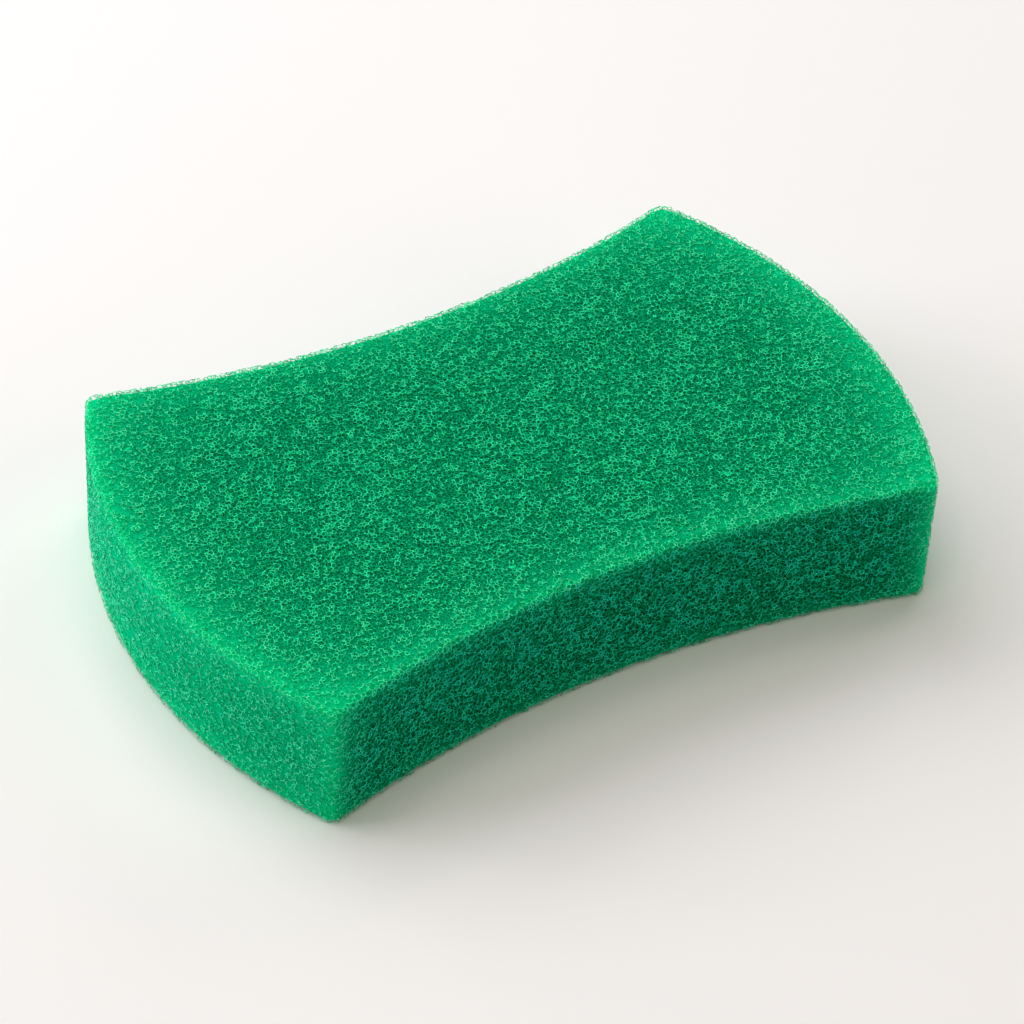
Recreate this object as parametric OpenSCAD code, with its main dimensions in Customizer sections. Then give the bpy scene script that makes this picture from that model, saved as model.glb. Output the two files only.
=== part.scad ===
// Waisted cleaning sponge: one slab of coarse open-cell foam.
// Its two ends bow outwards and its two long sides curve in for the hand.
// Millimetres, +X along the length, +Z up, origin in the middle of the underside.

/* [Plan] */
// Length over the two bowed ends
length = 150; // [120:1:200]
// Width across the two corners of an end
end_width = 95; // [75:1:125]
// How far each end bows out past its corners
end_bow = 12.5; // [6:0.5:18]
// Depth of the grip curve in each long side
grip_depth = 9.25; // [4:0.25:14]
// Radius of the four upright corners
corner_r = 2.5; // [1:0.25:5]

/* [Section] */
// Thickness of the foam
thickness = 27; // [15:0.5:45]
// Radius of the soft rim round each flat face
rim_r = 0.8; // [0.3:0.1:1.5]

/* [Hidden] */
foam_green = [0.04, 0.58, 0.36];
// How far the block and the cutters run past the foam
spare = 2;
// Flats in the quarter turn of the rim
rim_steps = 3;

// Radius of an arc from half its chord and its rise
function arc_radius(half_chord, rise) = (half_chord ^ 2 + rise ^ 2) / (2 * rise);

// The end lies on a circle round a point on the sponge's long axis
end_r = arc_radius(end_width / 2, end_bow);
end_centre = [length / 2 - end_r, 0];
// The grip curve lies on a circle round a point far out to the side
grip_r = arc_radius(length / 2 - end_bow, grip_depth);
grip_centre = [0, end_width / 2 - grip_depth + grip_r];

// A corner's circle touches both, so its centre is corner_r inside the end's
// circle and corner_r outside the grip curve's
to_end = end_r - corner_r;
to_grip = grip_r + corner_r;
apart = norm(grip_centre - end_centre);
axis = (grip_centre - end_centre) / apart;
along = (to_end ^ 2 - to_grip ^ 2 + apart ^ 2) / (2 * apart);
across = sqrt(to_end ^ 2 - along ^ 2);
corner = end_centre + along * axis + across * [axis.y, -axis.x];
// Directions from the corner's centre to where it touches the end and the grip curve
end_touch = (corner - end_centre) / to_end;
grip_touch = (grip_centre - corner) / to_grip;

// The rounded edge from the underside to the top, as [how far in, how high]
lower_rim = [for (i = [0:rim_steps])
  rim_r * [1 - sin(90 * i / rim_steps), 1 - cos(90 * i / rim_steps)]];
upper_rim = [for (i = [rim_steps:-1:0]) [lower_rim[i].x, thickness - lower_rim[i].y]];
edge = concat(
  [[rim_r, -spare]], lower_rim, upper_rim, [[rim_r, thickness + spare]]);

// What lies outside one bowed end, as half a ring
module end_cutter() {
  outer_r = end_r + end_width / 2;
  translate(end_centre)
    rotate([0, 0, -90])
      rotate_extrude(angle = 180, $fn = 360)
        polygon(concat(
          [[outer_r, -spare]],
          [for (p = edge) [end_r - p.x, p.y]],
          [[outer_r, thickness + spare]]));
}

// What the grip curve takes out of one long side
module grip_cutter()
  translate(grip_centre)
    rotate_extrude($fn = 720)
      polygon(concat(
        [[0, -spare]],
        [for (p = edge) [grip_r + p.x, p.y]],
        [[0, thickness + spare]]));

// What lies outside one upright corner, between its two touching points
module corner_cutter() {
  inner = corner_r / 2;
  outer = 3 * corner_r;
  translate([corner.x, corner.y, -spare])
    linear_extrude(thickness + 2 * spare)
      difference() {
        polygon([
          inner * end_touch, outer * end_touch, outer * (end_touch + grip_touch),
          outer * grip_touch, inner * grip_touch]);
        circle(corner_r, $fn = 96);
      }
}

module sponge()
  color(foam_green)
    difference() {
      translate([-length / 2 - spare, -end_width / 2 - spare, 0])
        cube([length + 2 * spare, end_width + 2 * spare, thickness]);
      for (x = [0, 1]) mirror([x, 0, 0]) {
        end_cutter();
        for (y = [0, 1]) mirror([0, y, 0]) corner_cutter();
      }
      for (y = [0, 1]) mirror([0, y, 0]) grip_cutter();
    }

sponge();
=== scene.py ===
import math
from itertools import product
import bpy
import numpy as np
from mathutils import Euler, Matrix, Vector


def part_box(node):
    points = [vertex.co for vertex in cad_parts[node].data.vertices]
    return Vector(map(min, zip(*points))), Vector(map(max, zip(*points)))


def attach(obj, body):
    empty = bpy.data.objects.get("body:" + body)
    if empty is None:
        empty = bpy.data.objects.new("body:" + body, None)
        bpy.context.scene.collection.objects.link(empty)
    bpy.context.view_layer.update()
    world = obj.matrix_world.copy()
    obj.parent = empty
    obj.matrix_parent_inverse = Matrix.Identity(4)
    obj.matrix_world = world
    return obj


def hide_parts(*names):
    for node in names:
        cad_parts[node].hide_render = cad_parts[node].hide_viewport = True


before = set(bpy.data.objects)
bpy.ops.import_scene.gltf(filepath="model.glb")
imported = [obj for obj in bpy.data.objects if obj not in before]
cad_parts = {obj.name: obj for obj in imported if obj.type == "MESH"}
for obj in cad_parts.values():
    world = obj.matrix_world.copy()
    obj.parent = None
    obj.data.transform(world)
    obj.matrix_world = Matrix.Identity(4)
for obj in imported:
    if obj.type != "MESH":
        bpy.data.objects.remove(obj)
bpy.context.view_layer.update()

# Lengths in this script are millimetres until a mesh, lamp or camera is made
MM = 0.001

# The outer shape, as the CAD part has it
LOW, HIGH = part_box("sponge")
LENGTH = (HIGH.x - LOW.x) / MM
END_WIDTH = 95.0
END_BOW = 12.5
GRIP_DEPTH = 9.25
CORNER_R = 2.5
RIM_R = 0.8
# How far the foam's loose loops stand proud of that, at the walls and the top
SWELL = 0.3
THICKNESS = (HIGH.z - LOW.z) / MM + SWELL

# The block of foam that is repeated and cut to the outer shape: how many cells it has, how far
# apart they are, and how they are pushed apart until they keep at least that distance
SEED = 7
BLOCK_CELLS = 700
CELL = 0.97
SPREAD_STEPS = 30
SPREAD_REACH = 1.15 * CELL
SPREAD_SHARE = 0.3
# How many cells round each one can meet it, and the limits for telling where four of them meet
NEIGHBOURS = 30
FLATTEST = 1e-6
SLACK = 1e-7
# How often the struts pull their nodes straight
TENSION_STEPS = 4
BLOCK_TURN = Euler((0.52, 0.31, 0.83))
STRUT_R = 0.09
# Nodes up to this far outside the outer surface are kept, and drawn back to a strut's radius
# inside it and up to this much further
PROUD = 0.15
DRAWN_BACK = 0.18
# How many times loose struts are taken off
LOOSE_PASSES = 4

# The core under the network: its depth, its depth at the underside, how far the struts run into
# it, and its rims, which are rounder than the outer shape's
CORE_DEPTH = 0.42
CORE_BELOW = 0.1
ROOTS = 0.05
CORE_RIM = 1.4
CORE_RIM_STEPS = 4
# The points in each of its rings, and how far the rings on its faces and its wall lie from its rims
CORE_STEPS = 480
CORE_BANDS = [0.5, 1.0, 2.0, 3.0, 4.5, 6.0, 10.0, 20.0]
WALL_BANDS = [0.5, 1.0, 1.7, 2.5, 3.5, 5.0, 8.0]
# How often the search for a point of its outline halves the distance
HALVINGS = 30

# How far painted light fills the pores, from 0 to 1: evenly over a face or an end, and from an edge
# inwards with the length over which that fades
FACE_FILL = 0.04
END_FILL = 0.4
FACE_FROM_END = (0.7, 7.0)
FACE_FROM_SIDE = (0.5, 5.2)
END_FROM_FACE = (0.7, 4.0)
SIDE_FROM_FACE = (0.5, 1.5)
WALL_FROM_CORNER = (0.9, 2.5)

# The faces that a point can lie under
UNDER, WALL, TOP = range(3)

# The cells that show on the core in two layers: their size, and at what share of it from its
# middle a line between two cells is no longer full and has ended
NEAR_CELL, NEAR_LINE = 0.7, (0.015, 0.05)
DEEP_CELL, DEEP_LINE = 0.5, (0.015, 0.06)
# How far the deeper layer is moved off the nearer one, and how much the nearer one stands out
DEEP_MOVED = (0.37, 0.59, 0.13)
LINE_BUMP = 0.6
LINE_HEIGHT = 0.2
# How rough the core is, what share of light enters it, and how far that goes, with the shares of
# this that red, green and blue go
CORE_ROUGHNESS = 0.8
CORE_TRANSLUCENT = 0.5
CORE_GLOW = 3.0
GLOW_SHARES = (0.3, 1.0, 0.7)
# Colours, as linear red, green, blue and opacity: the struts' greens on the faces and on the walls,
# and their painted glow, the painted light that brightens them towards the edges; then the core's
TOP_GREENS = ((0.003, 0.84, 0.365, 1), (0.007, 0.98, 0.44, 1))
WALL_GREENS = ((0.004, 0.76, 0.47, 1), (0.010, 0.98, 0.64, 1))
# Painted light: the struts' colour where painted light brightens them towards the edges
STRUTS_PAINTED_GLOW = (0.006, 0.95, 0.43, 1)
NEAR_GREEN = (0.003, 0.78, 0.33, 1)
# Painted shade: the deeper layer of cells darker, and the pores darker still, as deeper foam lies in
# shade
DEEP_PAINTED_SHADE = (0.001, 0.36, 0.145, 1)
PORE_PAINTED_SHADE = (0.0004, 0.032, 0.012, 1)
# Painted light: the core's colour where painted light fills its pores towards the edges
CORE_PAINTED_GLOW = (0.002, 0.92, 0.38, 1)
# The most that the painted light hides of the pattern on the core
CORE_MOST = 0.75
# The size of the patches in which the struts' green varies
PATCH_SIZE = 0.9
# The small pale glints painted on the struts as painted highlights: their colour, their size, the
# noise at which they start and are full, and the most that they cover on the faces and on the walls
PAINTED_GLINT = (0.5, 1.0, 0.82, 1)
PAINTED_GLINT_SIZE = 0.25
PAINTED_GLINT_FROM, PAINTED_GLINT_FULL = 0.58, 0.68
FACE_PAINTED_GLINTS, WALL_PAINTED_GLINTS = 0.3, 0.5
STRUT_ROUGHNESS = 0.2
STRUT_GLOSS = 0.12
GLOSS_TINT = (0.8, 1.0, 0.9, 1)

# The floor: its two close shades and how many patches of them there are in a metre, its finish,
# its half width, and how far from the sponge it turns into the white background
FLOOR_SHADES = ((0.868, 0.853, 0.882, 1), (0.858, 0.838, 0.86, 1))
FLOOR_PATCHES = 3.0
FLOOR_ROUGHNESS = 0.9
FLOOR_GLOSS = 0.2
FLOOR_HALF = 3000.0
FLOOR_FADES = 300.0
FLOOR_WHITE = 1000.0
WHITE = (1, 1, 1, 1)

# The camera, as fitted to the sponge's outline in the photograph, in degrees and millimetres: its
# azimuth from -Y, its height, roll and distance, and how far right and up of the middle of the
# view the middle of the sponge's underside lies
CAMERA_AZIMUTH = -32.98
CAMERA_HEIGHT = 41.86
CAMERA_ROLL = 3.37
CAMERA_DISTANCE = 757.3
CAMERA_RIGHT = -1.486
CAMERA_UP = -7.103
SENSOR = 36.0
LENS = 142.25

# The lamps: square soft boxes at one distance, in metres, each with its azimuth from +X and its
# height in degrees, its size in metres, its power in watts and its colour
LAMP_DISTANCE = 1.5
PLAIN_LIGHT = (1.0, 1.0, 1.0)
WARM_LIGHT = (1.0, 0.94, 0.80)
LAMPS = {
    "key": (150, 22, 0.8, 10.3, PLAIN_LIGHT),
    "back_left": (120, 22, 1.0, 9.9, PLAIN_LIGHT),
    "right": (30, 22, 1.0, 5.0, PLAIN_LIGHT),
    "back": (90, 42, 1.0, 5.1, PLAIN_LIGHT),
    "high": (90, 65, 1.0, 5.1, PLAIN_LIGHT),
    "top": (0, 90, 1.0, 3.75, WARM_LIGHT),
    "fill": (210, 60, 1.0, 3.95, WARM_LIGHT),
    "front": (-62, 31, 1.0, 4.5, WARM_LIGHT),
}
WORLD_STRENGTH = 0.02


# The outer shape

def arc_radius(half_chord, rise):
    return (half_chord ** 2 + rise ** 2) / (2 * rise)


END_R = arc_radius(END_WIDTH / 2, END_BOW)
END_CENTRE = np.array([LENGTH / 2 - END_R, 0.0])
GRIP_R = arc_radius(LENGTH / 2 - END_BOW, GRIP_DEPTH)
GRIP_CENTRE = np.array([0.0, END_WIDTH / 2 - GRIP_DEPTH + GRIP_R])


def corner_frame():
    """The centre of a corner's circle, and the directions in which it meets the end and the grip
    curve."""
    to_end, to_grip = END_R - CORNER_R, GRIP_R + CORNER_R
    apart = np.linalg.norm(GRIP_CENTRE - END_CENTRE)
    axis = (GRIP_CENTRE - END_CENTRE) / apart
    along = (to_end ** 2 - to_grip ** 2 + apart ** 2) / (2 * apart)
    across = math.sqrt(to_end ** 2 - along ** 2)
    centre = END_CENTRE + along * axis + across * np.array([axis[1], -axis[0]])
    return centre, (centre - END_CENTRE) / to_end, (GRIP_CENTRE - centre) / to_grip


CORNER, END_TOUCH, GRIP_TOUCH = corner_frame()


def wall_parts(x, y):
    """How far places in the plan lie outside the end's circle, and how far inside the grip
    curve's."""
    x, y = np.abs(x), np.abs(y)
    return np.hypot(x - END_CENTRE[0], y) - END_R, GRIP_R - np.hypot(x, GRIP_CENTRE[1] - y)


def outside_wall(x, y):
    """How far places in the plan lie outside the wall, and below zero how far inside."""
    from_corner = np.stack([np.abs(x), np.abs(y)], 1) - CORNER
    shares = from_corner @ np.linalg.inv(np.array([END_TOUCH, GRIP_TOUCH]))
    rounded = np.hypot(*from_corner.T) - CORNER_R
    return np.where((shares > 0).all(1), rounded, np.maximum(*wall_parts(x, y))) - SWELL


def depth_by_rim(wall, face, rim):
    """How far places lie inside a slab with soft rims, from how far they lie outside its wall and
    its faces."""
    wall, face = wall + rim, face + rim
    past_both = np.hypot(np.maximum(wall, 0), np.maximum(face, 0))
    return rim - np.minimum(np.maximum(wall, face), 0) - past_both


def depth_of(points):
    """How far points lie inside the sponge's outer surface, and below zero how far outside."""
    wall = outside_wall(points[:, 0], points[:, 1])
    face = np.abs(points[:, 2] - THICKNESS / 2) - THICKNESS / 2
    return depth_by_rim(wall, face, RIM_R)


def depth_in_core(points):
    """How far points lie inside the core, and below zero how far outside."""
    wall = outside_wall(points[:, 0], points[:, 1]) + CORE_DEPTH
    face = np.maximum(points[:, 2] - THICKNESS + CORE_DEPTH, CORE_BELOW - points[:, 2])
    return depth_by_rim(wall, face, CORE_RIM)


def nearest_face(points):
    """Which of the wall, top and underside each point is nearest to."""
    wall = outside_wall(points[:, 0], points[:, 1])
    upper, lower = points[:, 2] - THICKNESS, -points[:, 2]
    return np.where(wall > np.maximum(upper, lower), WALL, np.where(upper > lower, TOP, UNDER))


def unit(vectors):
    return vectors / np.maximum(np.linalg.norm(vectors, axis=-1, keepdims=True), 1e-9)


def outward(points):
    """The direction straight out of the outer surface at each point."""
    step = 0.01
    return unit(np.stack([
        depth_of(points - step * axis) - depth_of(points + step * axis) for axis in np.eye(3)], 1))


# The foam's network

def spread_seeds(rng, side):
    """Cell centres that keep clear of each other in a cube that repeats in all directions."""
    seeds = rng.random((BLOCK_CELLS, 3)) * side
    for _ in range(SPREAD_STEPS):
        gap = seeds[:, None] - seeds[None]
        gap -= side * np.round(gap / side)
        apart = np.sqrt((gap ** 2).sum(2))
        np.fill_diagonal(apart, SPREAD_REACH)
        push = np.clip(SPREAD_REACH - apart, 0, None) / apart
        seeds = (seeds + SPREAD_SHARE * (gap * push[..., None]).sum(1)) % side
    return seeds


def meeting_places(gap, three):
    """The threes of neighbours that meet the cell in the middle with no other cell nearer, and
    where they meet it."""
    half = (gap ** 2).sum(1) / 2
    a, b, c = gap[three].transpose(1, 0, 2)
    bc, ca, ab = np.cross(b, c), np.cross(c, a), np.cross(a, b)
    volume = (a * bc).sum(1)
    fit = np.abs(volume) > FLATTEST
    three, bc, ca, ab = three[fit], bc[fit], ca[fit], ab[fit]
    place = half[three[:, :1]] * bc + half[three[:, 1:2]] * ca + half[three[:, 2:]] * ab
    place /= volume[fit, None]
    clear = (place @ gap.T <= half + SLACK).all(1)
    return three[clear], place[clear]


def block_corners(seeds, side):
    """Where four cells meet: their indexes in rising order, the copies of the cube they lie in
    and the meeting point."""
    cells, copies, places = [], [], []
    for i, seed in enumerate(seeds):
        gap = seeds - seed
        copy = -np.round(gap / side).astype(int)
        gap += side * copy
        near = np.argsort((gap ** 2).sum(1))[1:NEIGHBOURS + 1]
        gap, copy = gap[near], copy[near]
        later = np.nonzero(near > i)[0]
        if len(later) < 3:
            continue
        three = np.array(np.meshgrid(later, later, later, indexing="ij")).reshape(3, -1).T
        ordered = (np.diff(near[three]) > 0).all(1)
        three, place = meeting_places(gap, three[ordered])
        count = len(three)
        cells.append(np.concatenate([np.full((count, 1), i), near[three]], 1))
        copies.append(np.concatenate([np.zeros((count, 1, 3), int), copy[three]], 1))
        places.append(seed + place)
    return np.concatenate(cells), np.concatenate(copies), np.concatenate(places)


# The three other slots of a node, for each of its four
OTHERS = np.array([[1, 2, 3], [0, 2, 3], [0, 1, 3], [0, 1, 2]])


def block_struts(cells, copies):
    """For each node's four struts the node at the other end, the copy of the cube which that node
    lies in and the strut's slot there. Two nodes share a strut where they share three cells in the
    same places."""
    count = len(cells)
    node = np.repeat(np.arange(count), 4)
    slot = np.tile(np.arange(4), count)
    three = cells[node[:, None], OTHERS[slot]]
    base = copies[node, OTHERS[slot][:, 0]]
    rest = copies[node[:, None], OTHERS[slot]][:, 1:] - base[:, None]
    key = three @ np.array([1, BLOCK_CELLS, BLOCK_CELLS ** 2])
    # Copies of the cube are at most two apart either way, so five numbers tell them apart
    for column in rest.reshape(-1, 6).T:
        key = key * 5 + column + 2
    order = np.argsort(key, kind="stable")
    first, second = order[0::2], order[1::2]
    if len(order) % 2 or (key[first] != key[second]).any():
        raise RuntimeError("the foam block doesn't close: change SEED")
    far, far_slot = np.empty((count, 4), int), np.empty((count, 4), int)
    far_copy = np.empty((count, 4, 3), int)
    for here, there in ((first, second), (second, first)):
        far[node[here], slot[here]] = node[there]
        far_slot[node[here], slot[here]] = slot[there]
        far_copy[node[here], slot[here]] = base[here] - base[there]
    return far, far_copy, far_slot


def foam_block():
    """A cube of foam that repeats: its side, its nodes' places and their struts."""
    side = CELL * BLOCK_CELLS ** (1 / 3)
    rng = np.random.default_rng(SEED)
    cells, copies, places = block_corners(spread_seeds(rng, side), side)
    far, far_copy, far_slot = block_struts(cells, copies)
    for _ in range(TENSION_STEPS):
        pulled = (places[far] + side * far_copy).mean(1)
        places = (places + pulled) / 2
    return side, places, far, far_copy, far_slot


def in_shell(points):
    """Which points belong to the network: those close under the outer surface, and in the upper
    half all that lie outside the core, so that the network fills the rims round the top."""
    depth = depth_of(points)
    shell = depth < np.where(nearest_face(points) == UNDER, CORE_BELOW, CORE_DEPTH) + ROOTS
    upper = (points[:, 2] > THICKNESS / 2) & (depth_in_core(points) < ROOTS)
    return (depth > -PROUD) & (shell | upper)


def cut_foam():
    """The part of the repeated block that lies in the shell: the nodes' places, and for each
    node's four struts the node at the other end, or -1, and the strut's slot there."""
    side, places, far, far_copy, far_slot = foam_block()
    turn = np.array(BLOCK_TURN.to_matrix())
    middle = np.array([0.0, 0.0, THICKNESS / 2])
    corners = np.array(np.meshgrid([-1, 1], [-1, 1], [-1, 1])).reshape(3, -1).T
    corners = corners * np.array([LENGTH, END_WIDTH, THICKNESS]) / 2 @ turn / side
    lowest = np.floor(corners.min(0)).astype(int) - 1
    size = np.ceil(corners.max(0)).astype(int) + 1 - lowest + 1
    grid = np.array(np.meshgrid(*[np.arange(n) for n in size], indexing="ij")).reshape(3, -1).T
    # Copies of the block that lie clear of the shell are passed over
    depth = depth_of(side * (grid + lowest + 0.5) @ turn.T + middle)
    reach = side * math.sqrt(3) / 2 + CELL
    crossing = (depth > -PROUD - reach) & (depth < CORE_DEPTH + CORE_RIM + ROOTS + reach)
    points, keys, nodes, tiles = [], [], [], []
    for tile in np.nonzero(crossing)[0]:
        placed = (places + side * (grid[tile] + lowest)) @ turn.T + middle
        node = np.nonzero(in_shell(placed))[0]
        points.append(placed[node])
        keys.append(tile * len(places) + node)
        nodes.append(node)
        tiles.append(np.full(len(node), tile))
    points, keys, node, tile = (np.concatenate(part) for part in (points, keys, nodes, tiles))
    step = np.array([size[1] * size[2], size[2], 1])
    far_tile = (grid[tile][:, None] + far_copy[node]) @ step
    far_key = far_tile * len(places) + far[node]
    found = np.minimum(np.searchsorted(keys, far_key), len(keys) - 1)
    return points, np.where(keys[found] == far_key, found, -1), far_slot[node]


def foam_network():
    """The foam's nodes and struts near the surface, as closed loops along the cut."""
    points, far, far_slot = cut_foam()
    for _ in range(LOOSE_PASSES):
        loose = (far >= 0).sum(1) == 1
        far = np.where(loose[:, None], -1, far)
        far = np.where((far >= 0) & loose[np.maximum(far, 0)], -1, far)
    depth = depth_of(points)
    least = STRUT_R + DRAWN_BACK * np.random.default_rng(SEED).random(len(points)) ** 2
    proud = depth < least
    points[proud] += (depth - least)[proud, None] * outward(points[proud])
    return points, far, far_slot


def node_corners(points, far, nodes):
    """The directions in which nodes' four struts leave them, and the corner opposite each."""
    linked = (far[nodes] >= 0)[..., None]
    towards = points[np.maximum(far[nodes], 0)] - points[nodes][:, None]
    towards = unit(np.where(linked, towards, 0))
    # A slot without a strut points away from the others
    towards = np.where(linked, towards, unit(-towards.sum(1, keepdims=True)))
    opposite = unit(towards.sum(1, keepdims=True) - 2 * towards)
    return towards, points[nodes][:, None] + STRUT_R * opposite


def facing(corner, triangle, way, faces):
    """The faces, turned over where their triangle's normal is against the way given."""
    a, b, c = corner[triangle].transpose(1, 0, 2)
    agrees = (np.cross(b - a, c - a) * way).sum(1) > 0
    return np.where(agrees[:, None], faces, faces[:, ::-1])


def strut_mesh(points, far, far_slot, ends):
    """Corners and faces of some struts. Each node is a tetrahedron with a corner for each of its
    four slots, and a strut is a three-sided prism from a face of one to a face of the other."""
    nodes, here = np.unique(ends[:, 0], return_inverse=True)
    there = np.searchsorted(nodes, far[ends[:, 0], ends[:, 1]])
    towards, corner = node_corners(points, far, nodes)
    corner = corner.reshape(-1, 3)

    once = np.nonzero(here < there)[0]
    slot = ends[once, 1]
    first = here[once, None] * 4 + OTHERS[slot]
    second = there[once, None] * 4 + OTHERS[far_slot[ends[once, 0], slot]]
    sides = [np.stack([first[:, i], first[:, j], second[:, j], second[:, i]], 1)
             for i, j in ((0, 1), (1, 2), (2, 0))]
    sides = [facing(corner, first, towards[here[once], slot], side) for side in sides]

    used = np.zeros((len(nodes), 4), bool)
    used[here, ends[:, 1]] = True
    node, slot = np.nonzero(~used)
    caps = node[:, None] * 4 + OTHERS[slot]
    caps = facing(corner, caps, corner[caps[:, 0]] - corner[node * 4 + slot], caps)
    return corner, [np.concatenate(sides), caps]


def mesh_piece(name, points, faces, material):
    """A mesh object from points in millimetres and groups of faces with as many corners each."""
    mesh = bpy.data.meshes.new(name)
    mesh.vertices.add(len(points))
    mesh.vertices.foreach_set("co", (points * MM).astype(np.float32).ravel())
    corners = np.concatenate([group.ravel() for group in faces])
    sizes = np.concatenate([np.full(len(group), group.shape[1]) for group in faces])
    mesh.loops.add(len(corners))
    mesh.loops.foreach_set("vertex_index", corners.astype(np.int32))
    mesh.polygons.add(len(sizes))
    mesh.polygons.foreach_set("loop_start", (np.cumsum(sizes) - sizes).astype(np.int32))
    mesh.update(calc_edges=True)
    mesh.materials.append(material)
    piece = bpy.data.objects.new(name, mesh)
    bpy.context.scene.collection.objects.link(piece)
    return piece


def strut_pieces():
    """The network, parted by the face that it lies under and by quarter of the plan."""
    face_foam = strut_material("foam_face", TOP_GREENS, FACE_PAINTED_GLINTS)
    wall_foam = strut_material("foam_wall", WALL_GREENS, WALL_PAINTED_GLINTS)
    layers = ((UNDER, "under", face_foam), (WALL, "wall", wall_foam), (TOP, "top", face_foam))
    points, far, far_slot = foam_network()
    ends = np.argwhere(far >= 0)
    middle = (points[ends[:, 0]] + points[far[ends[:, 0], ends[:, 1]]]) / 2
    face = nearest_face(middle)
    right, back = (middle[:, :2] > 0).T
    pieces = []
    for (layer, over, foam), across, along in product(layers, ("left", "right"), ("front", "back")):
        mine = (face == layer) & (right == (across == "right")) & (back == (along == "back"))
        mesh = strut_mesh(points, far, far_slot, ends[mine])
        pieces.append(mesh_piece(f"struts_{over}_{across}_{along}", *mesh, foam))
    return pieces


# The core

def outline(inset):
    """The plan's outline, drawn in from the outer surface, as points round the middle."""
    angle = np.arange(CORE_STEPS) * 2 * math.pi / CORE_STEPS
    ray = np.stack([np.cos(angle), np.sin(angle)], 1)
    near, far = np.zeros(CORE_STEPS), np.full(CORE_STEPS, LENGTH)
    for _ in range(HALVINGS):
        half = (near + far) / 2
        inside = outside_wall(*(half[:, None] * ray).T) < -inset
        near, far = np.where(inside, half, near), np.where(inside, far, half)
    return near[:, None] * ray


def core_rim(depth):
    """A rim of the core from face to wall, as how far in and how far from the face it lies."""
    turns = [math.pi / 2 * i / CORE_RIM_STEPS for i in range(CORE_RIM_STEPS + 1)]
    return [(CORE_DEPTH + CORE_RIM * (1 - math.sin(turn)), depth + CORE_RIM * (1 - math.cos(turn)))
            for turn in turns]


def core_rings():
    """The core's rings, from the middle of the top, down the wall and to the middle of the
    underside, as how far in and how high they lie."""
    insets = [CORE_DEPTH + CORE_RIM + step for step in CORE_BANDS]
    depths = [CORE_RIM + step for step in WALL_BANDS]
    upper = [(inset, CORE_DEPTH) for inset in insets[::-1]] + core_rim(CORE_DEPTH)
    upper += [(CORE_DEPTH, CORE_DEPTH + depth) for depth in depths]
    lower = [(CORE_DEPTH, CORE_BELOW + depth) for depth in depths[::-1]]
    lower += core_rim(CORE_BELOW)[::-1] + [(inset, CORE_BELOW) for inset in insets]
    return [(inset, THICKNESS - depth) for inset, depth in upper] + lower


def core_mesh():
    """Corners and faces of the closed foam under the network."""
    rings = core_rings()
    points = [np.column_stack([outline(inset), np.full(CORE_STEPS, z)]) for inset, z in rings]
    points += [np.array([[0, 0, THICKNESS - CORE_DEPTH], [0, 0, CORE_BELOW]])]
    here = np.arange(CORE_STEPS)
    there = np.roll(here, -1)
    last = CORE_STEPS * (len(rings) - 1)
    quads = [np.stack([i + here, i + CORE_STEPS + here, i + CORE_STEPS + there, i + there], 1)
             for i in range(0, last, CORE_STEPS)]
    top = np.full(CORE_STEPS, last + CORE_STEPS)
    fans = [np.stack([here, there, top], 1), np.stack([last + there, last + here, top + 1], 1)]
    return np.concatenate(points), quads + fans


# The painted light in the pores

def fading(start, length, distance):
    return start * np.exp(-distance / length)


def filled(*shares):
    """Several shares of light in one place, together."""
    return 1 - math.prod(1 - share for share in shares)


def add_light_share(piece, depth):
    """Stores how far painted light fills the pores, from 0 to 1, for each point of a piece at this
    depth.
    """
    points = np.empty(len(piece.data.vertices) * 3, np.float32)
    piece.data.vertices.foreach_get("co", points)
    x, y, z = points.reshape(-1, 3).T / MM
    to_end, to_side = np.maximum(-np.stack(wall_parts(x, y)) - depth, 0)
    to_face = np.maximum(np.minimum(z, THICKNESS - z) - depth, 0)
    corner = fading(*WALL_FROM_CORNER, np.maximum(to_end, to_side))
    on_end = filled(END_FILL, corner, fading(*END_FROM_FACE, to_face))
    on_side = filled(corner, fading(*SIDE_FROM_FACE, to_face))
    on_face = filled(FACE_FILL, fading(*FACE_FROM_END, to_end), fading(*FACE_FROM_SIDE, to_side))
    on_wall = np.where(to_end < to_side, on_end, on_side)
    share = np.where(np.minimum(to_end, to_side) < to_face, on_wall, on_face)
    piece.data.attributes.new("light", "FLOAT", "POINT").data.foreach_set("value", share)


# Materials

def blank_material(name, roughness, specular):
    """A new material, its links and nodes, and its shader."""
    material = bpy.data.materials.new(name)
    material.use_nodes = True
    tree = material.node_tree
    shader = tree.nodes["Principled BSDF"]
    shader.inputs["Roughness"].default_value = roughness
    shader.inputs["Specular IOR Level"].default_value = specular
    return material, tree, shader


def feed(tree, socket, value):
    """Gives a socket another node's output, or a value of its own."""
    if isinstance(value, bpy.types.NodeSocket):
        tree.links.new(value, socket)
    else:
        socket.default_value = value


def add_node(tree, kind, inputs=(), **settings):
    """A node with its settings and its inputs, each a value or another node's output."""
    node = tree.nodes.new(kind)
    for name, value in settings.items():
        setattr(node, name, value)
    for name, value in dict(inputs).items():
        feed(tree, node.inputs[name], value)
    return node


def calculate(tree, operation, first, second, **settings):
    """The output of a calculation with two numbers."""
    inputs = {0: first, 1: second}
    return add_node(tree, "ShaderNodeMath", inputs, operation=operation, **settings).outputs[0]


def rising(tree, value, low, high, **settings):
    """The output that goes from 0 to 1 as a value goes from low to high."""
    inputs = {"Value": value, "From Min": low, "From Max": high}
    return add_node(tree, "ShaderNodeMapRange", inputs, **settings).outputs["Result"]


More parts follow.
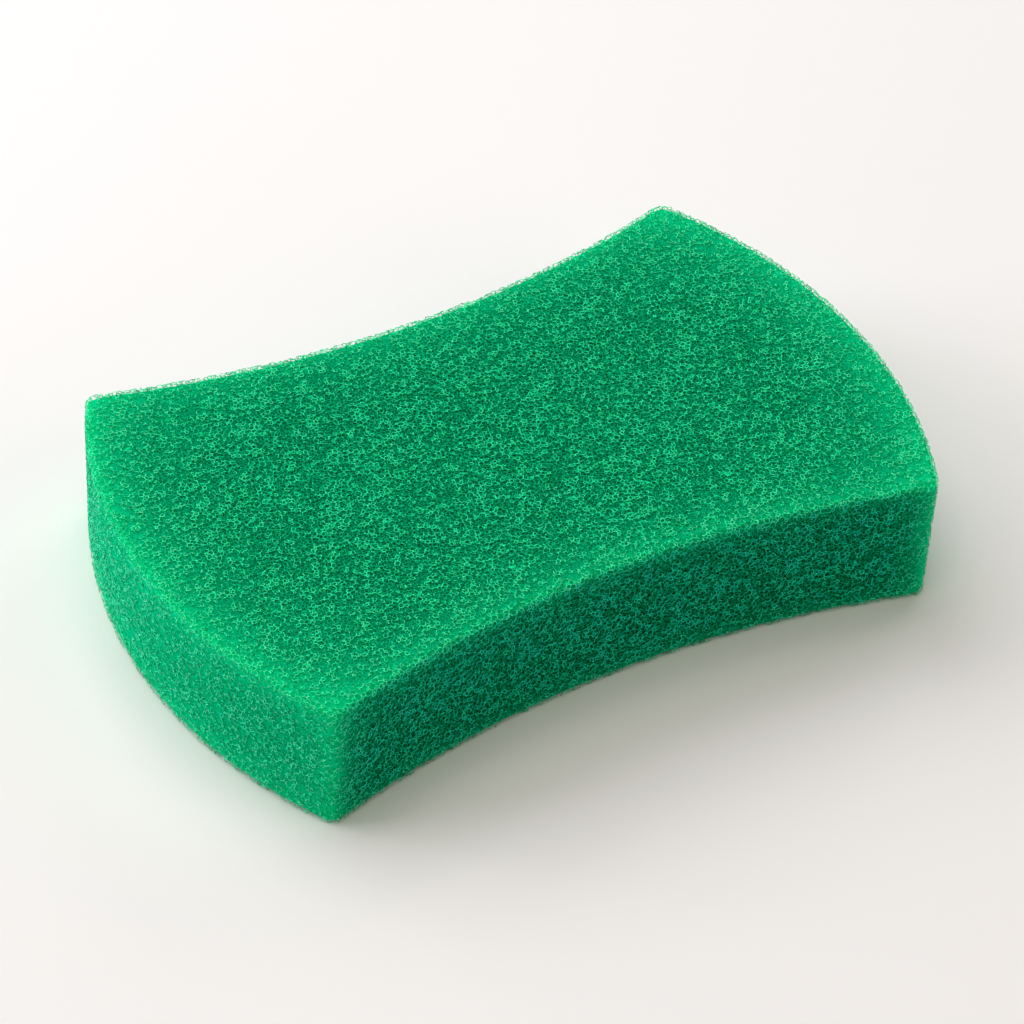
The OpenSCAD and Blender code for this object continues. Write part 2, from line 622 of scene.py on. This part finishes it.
def blend_colours(tree, share, first, second):
    """The output of a mix of two colours, each a colour or an output."""
    node = tree.nodes.new("ShaderNodeMix")
    node.data_type = "RGBA"
    # A mix of colours takes its share from the first input and its colours from these two
    for index, value in ((0, share), (6, first), (7, second)):
        feed(tree, node.inputs[index], value)
    return node.outputs[2]


def place_on_piece(tree):
    return add_node(tree, "ShaderNodeTexCoord").outputs["Object"]


def light_share(tree):
    return add_node(tree, "ShaderNodeAttribute", attribute_name="light").outputs["Fac"]


def patches(tree, place, per_metre, **detail):
    """The output of a noise with this many patches in a metre."""
    inputs = {"Vector": place, "Scale": per_metre, **detail}
    return add_node(tree, "ShaderNodeTexNoise", inputs).outputs["Fac"]


def cell_lines(tree, place, size, full, end):
    """Lines between cells of about this size: 1 on a line and 0 in a cell."""
    cells = add_node(tree, "ShaderNodeTexVoronoi", {"Vector": place, "Scale": 1 / (size * MM)},
                     feature="DISTANCE_TO_EDGE")
    lines = add_node(tree, "ShaderNodeMapRange", {
        "Value": cells.outputs["Distance"], "From Min": full, "From Max": end,
        "To Min": 1.0, "To Max": 0.0}, interpolation_type="SMOOTHSTEP")
    return lines.outputs["Result"]


def core_material():
    """The deeper foam: two layers of cells, the nearer one brighter and the deeper one darker with
    painted shade, over pores darkened with painted shade that painted light fills towards the sponge's
    edges."""
    material, tree, shader = blank_material("foam_deep", CORE_ROUGHNESS, 0.0)
    shader.inputs["Subsurface Weight"].default_value = CORE_TRANSLUCENT
    shader.inputs["Subsurface Radius"].default_value = GLOW_SHARES
    shader.inputs["Subsurface Scale"].default_value = CORE_GLOW * MM
    place = place_on_piece(tree)
    moved = add_node(tree, "ShaderNodeVectorMath", {0: place, 1: DEEP_MOVED}, operation="ADD")
    near = cell_lines(tree, place, NEAR_CELL, *NEAR_LINE)
    deep = cell_lines(tree, moved.outputs["Vector"], DEEP_CELL, *DEEP_LINE)
    # Painted shade: dark pores and a darker deeper layer
    colour = blend_colours(tree, deep, PORE_PAINTED_SHADE, DEEP_PAINTED_SHADE)
    colour = blend_colours(tree, near, colour, NEAR_GREEN)
    # Painted light fills the pores towards the edges
    most = calculate(tree, "MULTIPLY", light_share(tree), CORE_MOST)
    colour = blend_colours(tree, most, colour, CORE_PAINTED_GLOW)
    tree.links.new(colour, shader.inputs["Base Color"])
    bump = add_node(tree, "ShaderNodeBump", {
        "Height": near, "Strength": LINE_BUMP, "Distance": LINE_HEIGHT * MM})
    tree.links.new(bump.outputs["Normal"], shader.inputs["Normal"])
    return material


def strut_material(name, greens, glints):
    """The struts: glossy green that varies a little, is brightened by painted light towards the edges
    and has small painted pale glints where that painted light reaches."""
    material, tree, shader = blank_material(name, STRUT_ROUGHNESS, STRUT_GLOSS)
    shader.inputs["Specular Tint"].default_value = GLOSS_TINT
    place, light = place_on_piece(tree), light_share(tree)
    varied = patches(tree, place, 1 / (PATCH_SIZE * MM), Detail=2.0)
    # Painted light brightens the struts towards the edges
    colour = blend_colours(tree, light, blend_colours(tree, varied, *greens), STRUTS_PAINTED_GLOW)
    # Painted highlights: small pale glints where the painted light reaches
    painted_specks = patches(tree, place, 1 / (PAINTED_GLINT_SIZE * MM), Detail=0.0)
    painted_specks = rising(tree, painted_specks, PAINTED_GLINT_FROM, PAINTED_GLINT_FULL)
    most = calculate(tree, "MINIMUM", light, glints)
    colour = blend_colours(tree, calculate(tree, "MULTIPLY", painted_specks, most), colour, PAINTED_GLINT)
    tree.links.new(colour, shader.inputs["Base Color"])
    return material


def seen_directly(tree):
    """The output that is 1 for what the camera, a reflection or a clear surface shows, and 0 for
    light."""
    ray = add_node(tree, "ShaderNodeLightPath").outputs
    shown = calculate(tree, "ADD", ray["Is Camera Ray"], ray["Is Glossy Ray"])
    return calculate(tree, "ADD", shown, ray["Is Transmission Ray"], use_clamp=True)


def floor_material():
    """Pale matt paper that turns into the white background far from the sponge."""
    material, tree, shader = blank_material("floor", FLOOR_ROUGHNESS, FLOOR_GLOSS)
    place = place_on_piece(tree)
    colour = blend_colours(tree, patches(tree, place, FLOOR_PATCHES), *FLOOR_SHADES)
    tree.links.new(colour, shader.inputs["Base Color"])
    away = add_node(tree, "ShaderNodeVectorMath", {0: place}, operation="LENGTH").outputs["Value"]
    far = rising(tree, away, FLOOR_FADES * MM, FLOOR_WHITE * MM, interpolation_type="SMOOTHSTEP")
    share = calculate(tree, "MULTIPLY", far, seen_directly(tree))
    white = add_node(tree, "ShaderNodeEmission", {"Color": WHITE, "Strength": 1.0}).outputs[0]
    both = add_node(tree, "ShaderNodeMixShader", {0: share, 1: shader.outputs[0], 2: white})
    tree.links.new(both.outputs[0], tree.nodes["Material Output"].inputs["Surface"])
    return material


# The sponge and its set

def make_sponge():
    core = mesh_piece("foam_core", *core_mesh(), core_material())
    add_light_share(core, CORE_DEPTH)
    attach(core, "root")
    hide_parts("sponge")
    for piece in strut_pieces():
        add_light_share(piece, 0)
        piece.data.shade_smooth()
        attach(piece, "root")


def make_floor():
    corners = np.array([[-1, -1, 0], [1, -1, 0], [1, 1, 0], [-1, 1, 0]]) * FLOOR_HALF
    floor = mesh_piece("floor", corners, [np.array([[0, 1, 2, 3]])], floor_material())


def make_camera():
    """The camera, level at first and then rolled and moved sideways."""
    angles = (CAMERA_AZIMUTH, CAMERA_HEIGHT, CAMERA_ROLL)
    azimuth, height, roll = (math.radians(angle) for angle in angles)
    back = Vector((
        math.sin(azimuth) * math.cos(height), -math.cos(azimuth) * math.cos(height), math.sin(height)))
    level = (-back).cross(Vector((0, 0, 1))).normalized()
    upright = level.cross(-back)
    right = math.cos(roll) * level + math.sin(roll) * upright
    up = math.cos(roll) * upright - math.sin(roll) * level
    place = CAMERA_DISTANCE * back - CAMERA_RIGHT * right - CAMERA_UP * up
    turn = Matrix((right, up, back)).transposed().to_4x4()
    data = bpy.data.cameras.new("camera")
    data.sensor_width = SENSOR
    data.lens = LENS
    camera = bpy.data.objects.new("camera", data)
    camera.matrix_world = Matrix.Translation(place * MM) @ turn
    bpy.context.scene.collection.objects.link(camera)
    bpy.context.scene.camera = camera


def make_lamp(name, azimuth, height, size, power, colour):
    """A square soft box that faces the sponge and isn't seen itself."""
    data = bpy.data.lights.new(name, "AREA")
    data.size = size
    data.energy = power
    data.color = colour
    turn, tilt = math.radians(azimuth), math.radians(height)
    towards = Vector((
        math.cos(tilt) * math.cos(turn), math.cos(tilt) * math.sin(turn), math.sin(tilt)))
    lamp = bpy.data.objects.new(name, data)
    lamp.location = LAMP_DISTANCE * towards
    lamp.rotation_euler = towards.to_track_quat("Z", "Y").to_euler()
    lamp.visible_camera = False
    bpy.context.scene.collection.objects.link(lamp)


def make_world():
    """A white background, which itself lights the sponge only a little."""
    world = bpy.data.worlds.new("studio")
    world.use_nodes = True
    tree = world.node_tree
    sky = tree.nodes["Background"]
    sky.inputs["Color"].default_value = WHITE
    strength = add_node(tree, "ShaderNodeMapRange", {
        "Value": seen_directly(tree), "To Min": WORLD_STRENGTH})
    tree.links.new(strength.outputs["Result"], sky.inputs["Strength"])
    bpy.context.scene.world = world


make_camera()
make_sponge()
make_floor()
make_world()
for name, settings in LAMPS.items():
    make_lamp(name, *settings)
bpy.context.scene.view_settings.view_transform = "Standard"
